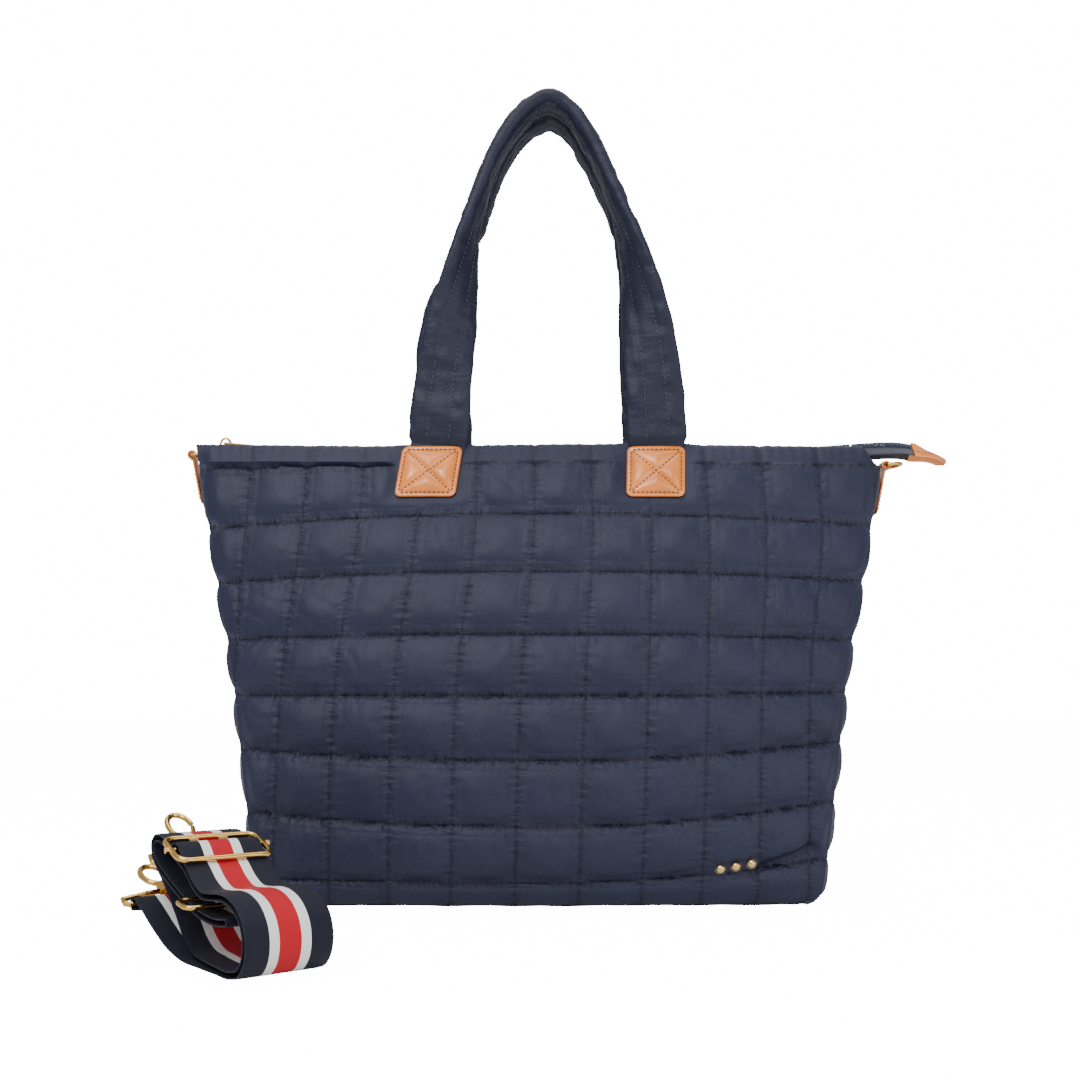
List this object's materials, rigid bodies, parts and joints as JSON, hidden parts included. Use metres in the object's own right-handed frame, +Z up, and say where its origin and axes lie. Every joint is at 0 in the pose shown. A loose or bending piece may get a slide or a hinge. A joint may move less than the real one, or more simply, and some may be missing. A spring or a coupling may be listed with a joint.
{
  "type": "quilted tote bag",
  "caption": "Quilted fabric tote with a zip top, padded shoulder handles on leather patches, end D-rings and a loose striped shoulder strap with an adjuster and snap hooks.",
  "frame": {"origin": "centre of the base's underside, on the surface the bag stands on", "axes": "+X to the bag's right seen from the front, -Y to the front, +Z up"},
  "size_m": [0.5724, 0.3769, 0.5995],
  "materials": {
    "quilted_nylon": "glossy quilted nylon, navy",
    "lining_cloth": "matt woven lining, navy",
    "padding_foam": "soft wadding",
    "leather": "smooth tan leather",
    "gold_metal": "polished, gold coloured",
    "zip_tape": "woven tape, navy",
    "zip_coil": "nylon coil, navy",
    "striped_webbing": "woven webbing, navy with white and red stripes",
    "base_board": "stiff sheet"
  },
  "bodies": {
    "bag": {"base_panel": "quilted_nylon", "base_board": "base_board", "base_lining": "lining_cloth", "back_panel": "quilted_nylon", "back_lining": "lining_cloth", "left_gusset": "quilted_nylon", "right_gusset": "quilted_nylon", "left_gusset_lining": "lining_cloth", "right_gusset_lining": "lining_cloth", "back_patch_left": "leather", "back_patch_right": "leather", "left_ring_tab": "leather", "right_ring_tab": "leather", "zip_tape_back": "zip_tape", "zip_chain_back": "zip_coil", "zip_top_stop": "gold_metal", "tail_root_tape": "zip_tape", "tail_root_chain": "zip_coil"},
    "front_wall": {"front_panel": "quilted_nylon", "front_lining": "lining_cloth", "front_patch_left": "leather", "front_patch_right": "leather", "stud_1": "gold_metal", "stud_2": "gold_metal", "stud_3": "gold_metal", "zip_tape_front": "zip_tape", "zip_chain_front": "zip_coil"},
    "zip_slider": {"slider_body": "gold_metal", "slider_crown": "gold_metal"},
    "zip_pull": {"pull_leaf": "gold_metal"},
    "zip_tail": {"tail_tape": "zip_tape", "tail_chain": "zip_coil", "tail_tab": "leather"},
    "front_handle": {"front_handle_sleeve": "quilted_nylon", "front_handle_core": "padding_foam"},
    "back_handle": {"back_handle_sleeve": "quilted_nylon", "back_handle_core": "padding_foam"},
    "left_ring_body": {"left_ring": "gold_metal"},
    "right_ring_body": {"right_ring": "gold_metal"},
    "strap": {"strap_webbing": "striped_webbing", "adjuster_frame": "gold_metal", "adjuster_bar": "gold_metal", "strap_ring": "gold_metal", "hook_a_eye": "gold_metal", "hook_b_eye": "gold_metal"},
    "claw_a": {"hook_a_claw": "gold_metal"},
    "claw_b": {"hook_b_claw": "gold_metal"},
    "gate_a": {"hook_a_gate": "gold_metal"},
    "gate_b": {"hook_b_gate": "gold_metal"}
  },
  "joints": [
    {"name": "mouth_open", "type": "hinge", "parent": "bag", "child": "front_wall", "pos_m": [0, -0.0682, 0.0063], "axis": [1, 0, 0], "range_deg": [0, 12]},
    {"name": "zip_travel", "type": "slide", "parent": "bag", "child": "zip_slider", "axis": [0.9999, 0, 0.0104], "range_m": [0, 0.44]},
    {"name": "zip_pull_swing", "type": "hinge", "parent": "zip_slider", "child": "zip_pull", "pos_m": [-0.238, 0, 0.34082], "axis": [0, -1, 0], "range_deg": [0, 170]},
    {"name": "tail_fold", "type": "hinge", "parent": "bag", "child": "zip_tail", "pos_m": [0.264, 0, 0.34185], "axis": [0, 1, 0], "range_deg": [-80, 0]},
    {"name": "front_handle_fold", "type": "hinge", "parent": "front_wall", "child": "front_handle", "pos_m": [0, -0.0262, 0.3383], "axis": [1, 0, 0], "range_deg": [0, 150]},
    {"name": "back_handle_fold", "type": "hinge", "parent": "bag", "child": "back_handle", "pos_m": [0, 0.0262, 0.3383], "axis": [-1, 0, 0], "range_deg": [0, 150]},
    {"name": "left_ring_swing", "type": "hinge", "parent": "bag", "child": "left_ring_body", "pos_m": [-0.26175, 0, 0.3315], "axis": [0, -1, 0], "range_deg": [0, 250]},
    {"name": "right_ring_swing", "type": "hinge", "parent": "bag", "child": "right_ring_body", "pos_m": [0.2604, 0, 0.3235], "axis": [0, 1, 0], "range_deg": [0, 75]},
    {"name": "strap_lift", "type": "slide", "parent": "bag", "child": "strap", "axis": [0, 0, 1], "range_m": [0, 0.3]},
    {"name": "hook_a_swivel", "type": "hinge", "parent": "strap", "child": "claw_a", "pos_m": [-0.22391, -0.17679, 0.0254], "axis": [-0.5703, 0.7604, 0.3106], "continuous": true},
    {"name": "hook_b_swivel", "type": "hinge", "parent": "strap", "child": "claw_b", "pos_m": [-0.21543, -0.15309, 0.04655], "axis": [-0.5154, 0.6871, 0.5121], "continuous": true},
    {"name": "hook_a_gate_spring", "type": "hinge", "parent": "claw_a", "child": "gate_a", "pos_m": [-0.23539, -0.15538, 0.03325], "axis": [-0.1863, 0.2484, -0.9506], "range_deg": [-20, 0], "stiffness_Nm_per_rad": 0.01, "springref_deg": 2.86},
    {"name": "hook_b_gate_spring", "type": "hinge", "parent": "claw_b", "child": "gate_b", "pos_m": [-0.22552, -0.13353, 0.05949], "axis": [-0.3073, 0.4097, -0.8589], "range_deg": [-20, 0], "stiffness_Nm_per_rad": 0.01, "springref_deg": 2.86}
  ],
  "couplings": [
    {"joint": "zip_travel", "follows": "mouth_open", "m_per_rad": 2.1}
  ]
}
